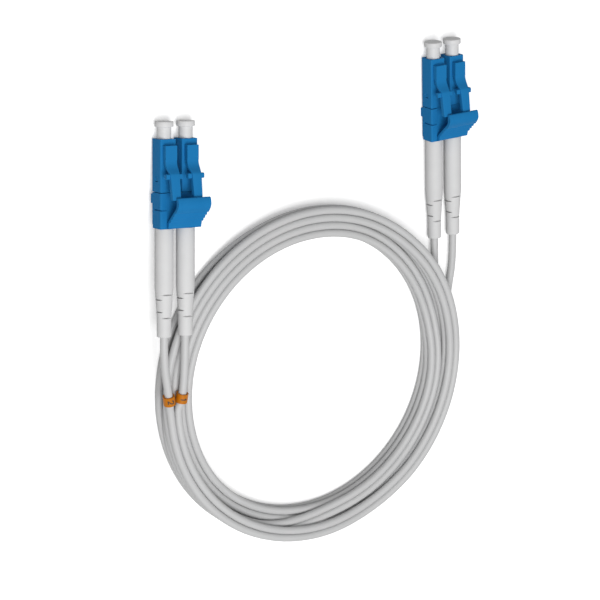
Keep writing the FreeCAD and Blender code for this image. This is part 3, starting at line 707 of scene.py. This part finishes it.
# ---- Marker rings ------------------------------------------------------------------------------
# Printed sleeves of orange film, one on each core just below the left boots, with the number of
# the core.
def ring_finish():
    """Orange heat-shrunk film, slightly glossy and uneven."""
    material, shader, place = material_base("ring_orange", (0.52, 0.165, 0.004), 0.4)
    shader.inputs["Specular IOR Level"].default_value = 0.2
    cloud = grain(place, 1.2)
    feed(tinted(place, cloud, (0.49, 0.15, 0.003), (0.55, 0.18, 0.005)), shader, "Base Color")
    feed(0.34 + cloud * 0.14, shader, "Roughness")
    feed(raised(place, cloud, 0.02), shader, "Normal")
    return material


def ink_finish():
    """Black printing ink, a little thin in places."""
    material, shader, place = material_base("ring_ink", (0.02, 0.018, 0.016), 0.5)
    thin = grain(place, 0.3)
    feed(tinted(place, thin, (0.012, 0.011, 0.01), (0.04, 0.03, 0.02)), shader, "Base Color")
    feed(0.42 + thin * 0.16, shader, "Roughness")
    return material


RING_RADIUS = 1.6
DIGIT_HEIGHT = 1.7
STROKE_WIDTH = 0.3
INK_RISE = 0.015
INK_SINK = 0.05
# round a stroke: share of its half width, and rise over the ring
STROKE_SECTION = np.array((
    (1, INK_RISE), (0.35, INK_RISE), (-0.35, INK_RISE), (-1, INK_RISE), (-1, -INK_SINK), (1, -INK_SINK)))
# strokes in digit heights: right, up
DIGITS = {
    "1": ((-0.16, 0.74), (-0.06, 0.84), (0.02, 0.95), (0.04, 0.97), (0.045, 0.9), (0.045, 0.5),
          (0.045, 0.06)),
    "2": ((-0.26, 0.7), (-0.22, 0.86), (-0.08, 0.96), (0.09, 0.95), (0.22, 0.84), (0.23, 0.66),
          (0.12, 0.47), (-0.08, 0.27), (-0.25, 0.1), (-0.2, 0.07), (0.05, 0.07), (0.26, 0.07)),
}
# the way the digits face, and how far down its stretch of tail each ring's middle is
DIGIT_SIDE = np.array((-0.2, 0.0, 0.93))
RING_SHARE = 0.65


def digit_points(digit, place, turn):
    """A band of ink wrapped on the ring: the stroke's section carried along the digit's line, to
    both sides of its tangent. A distance round the ring becomes an angle, distance over radius."""
    line = eased_rows(np.array(DIGITS[digit]) - (0, 0.5), per_span=6) * DIGIT_HEIGHT
    tangent = np.gradient(line, axis=0)
    tangent /= np.linalg.norm(tangent, axis=1, keepdims=True)
    aside = np.stack((-tangent[:, 1], tangent[:, 0]), axis=1) * STROKE_WIDTH / 2
    share, rise = STROKE_SECTION.T
    flat = line[:, None, :] + aside[:, None, :] * share[None, :, None]
    radius = np.broadcast_to(RING_RADIUS + rise, flat.shape[:2])
    angle = flat[..., 1] / RING_RADIUS
    local = np.stack((radius * np.sin(angle), radius * np.cos(angle), -flat[..., 0]), axis=-1)
    return place + local @ turn


finish_nodes("marker_ring", ring_finish())
ring_ink = ink_finish()
for digit, tail in (("2", "outer"), ("1", "inner")):
    upper, lower = (np.array(TAILS[tail][0][k]) for k in (2, 3))
    axis = (upper - lower) / np.linalg.norm(upper - lower)
    outward = DIGIT_SIDE - DIGIT_SIDE @ axis * axis
    outward /= np.linalg.norm(outward)
    ring_turn = np.stack((np.cross(axis, outward), outward, axis))
    ink_shape = digit_points(digit, upper + (lower - upper) * RING_SHARE, ring_turn)
    ink_faces = capped_skin(*ink_shape.shape[:2])
    ink = new_piece("ring_digit_" + digit, ink_shape, ink_faces, Matrix.Scale(MM, 4), ring_ink)
    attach(ink, "lead")
    core = {"outer": outer_core, "inner": inner_core}[tail]


# ---- Studio ------------------------------------------------------------------------------------
# A plain white floor and surroundings, with one soft lamp above and to the left. The floor looks
# white and takes the lead's shadow, but throws little light back at it.
def seen_ray(tree):
    """1 for a ray from the camera, a mirror or glass, and 0 for one that lights something."""
    kind = tree.nodes.new("ShaderNodeLightPath")
    seen = Wire(tree, kind.outputs["Is Camera Ray"])
    for other in ("Is Glossy Ray", "Is Transmission Ray"):
        seen = seen.maths("MAXIMUM", seen, Wire(tree, kind.outputs[other]))
    return seen


FLOOR_SIZE = 6
FLOOR_WHITE = 1.0
FLOOR_BOUNCE = 0.35
# the floor's own light as the camera sees it, which rises to a full white between two distances
FLOOR_GLOW = 0.32
FLOOR_GLOW_NEAR = 0.15
FLOOR_GLOW_FAR = 0.6
bpy.ops.mesh.primitive_plane_add(size=FLOOR_SIZE)
floor = bpy.context.object
floor.name = "floor"
floor_paint, floor_shader, floor_place = material_base("floor_white", (FLOOR_BOUNCE,) * 3, 0.9)
seen = seen_ray(floor_paint.node_tree)
feed(tinted(floor_place, seen, (FLOOR_BOUNCE,) * 3, (FLOOR_WHITE,) * 3), floor_shader, "Base Color")
distance = floor_place.output("ShaderNodeVectorMath", "Value", {"operation": "LENGTH"}, _0=floor_place)
away = floor_place.output("ShaderNodeMapRange", 0, {"interpolation_type": "SMOOTHSTEP"},
                          Value=distance, From_Min=FLOOR_GLOW_NEAR, From_Max=FLOOR_GLOW_FAR)
glow = seen * (FLOOR_GLOW + (1 - FLOOR_GLOW) * away)
feed(tinted(floor_place, glow, (0, 0, 0), (1, 1, 1)), floor_shader, "Emission Color")
floor_shader.inputs["Specular IOR Level"].default_value = 0.0
floor_shader.inputs["Emission Strength"].default_value = 1.0
floor.data.materials.append(floor_paint)

WORLD_LIGHT = 0.34
world = bpy.data.worlds.new("studio")
bpy.context.scene.world = world
world.use_nodes = True
background = world.node_tree.nodes["Background"]
background.inputs["Color"].default_value = (1, 1, 1, 1)
feed(WORLD_LIGHT + (1 - WORLD_LIGHT) * seen_ray(world.node_tree), background, "Strength")


# The lamp is square and faces the middle of the lead.
LAMP_PLACE = Vector((-0.28, -0.1, 0.74))
LAMP_AIM = Vector((0, -0.03, 0))
LAMP_SIZE = 0.45
LAMP_POWER = 4.7
light = bpy.data.lights.new("overhead", "AREA")
light.size = LAMP_SIZE
light.energy = LAMP_POWER
lamp = bpy.data.objects.new("overhead", light)
lamp.location = LAMP_PLACE
lamp.rotation_euler = (LAMP_AIM - LAMP_PLACE).to_track_quat("-Z", "Y").to_euler()
bpy.context.scene.collection.objects.link(lamp)

# The camera stands above the nose ends, swung round to the left, with a long lens.
SWING, RISE, ROLL = math.radians(32.2), math.radians(17.6), math.radians(-0.7)
CAMERA_AIM = Vector((-0.00168, -0.03315, 0))
CAMERA_DISTANCE = 0.6
NEAREST_SEEN = 0.01
SENSOR_WIDTH = 36
LENS_LENGTH = 133.74
backward = Vector((-math.sin(SWING) * math.cos(RISE), math.sin(RISE), math.cos(SWING) * math.cos(RISE)))
right = Vector((0, 1, 0)).cross(backward).normalized()
upward = backward.cross(right)
rolled_right = math.cos(ROLL) * right + math.sin(ROLL) * upward
rolled_up = math.cos(ROLL) * upward - math.sin(ROLL) * right
lens = bpy.data.cameras.new("camera")
lens.sensor_width = SENSOR_WIDTH
lens.lens = LENS_LENGTH
lens.clip_start = NEAREST_SEEN
camera = bpy.data.objects.new("camera", lens)
turned = Matrix((rolled_right, rolled_up, backward)).transposed().to_4x4()
camera.matrix_world = Matrix.Translation(CAMERA_AIM + backward * CAMERA_DISTANCE) @ turned
bpy.context.scene.collection.objects.link(camera)
bpy.context.scene.camera = camera
bpy.context.scene.view_settings.view_transform = "Standard"
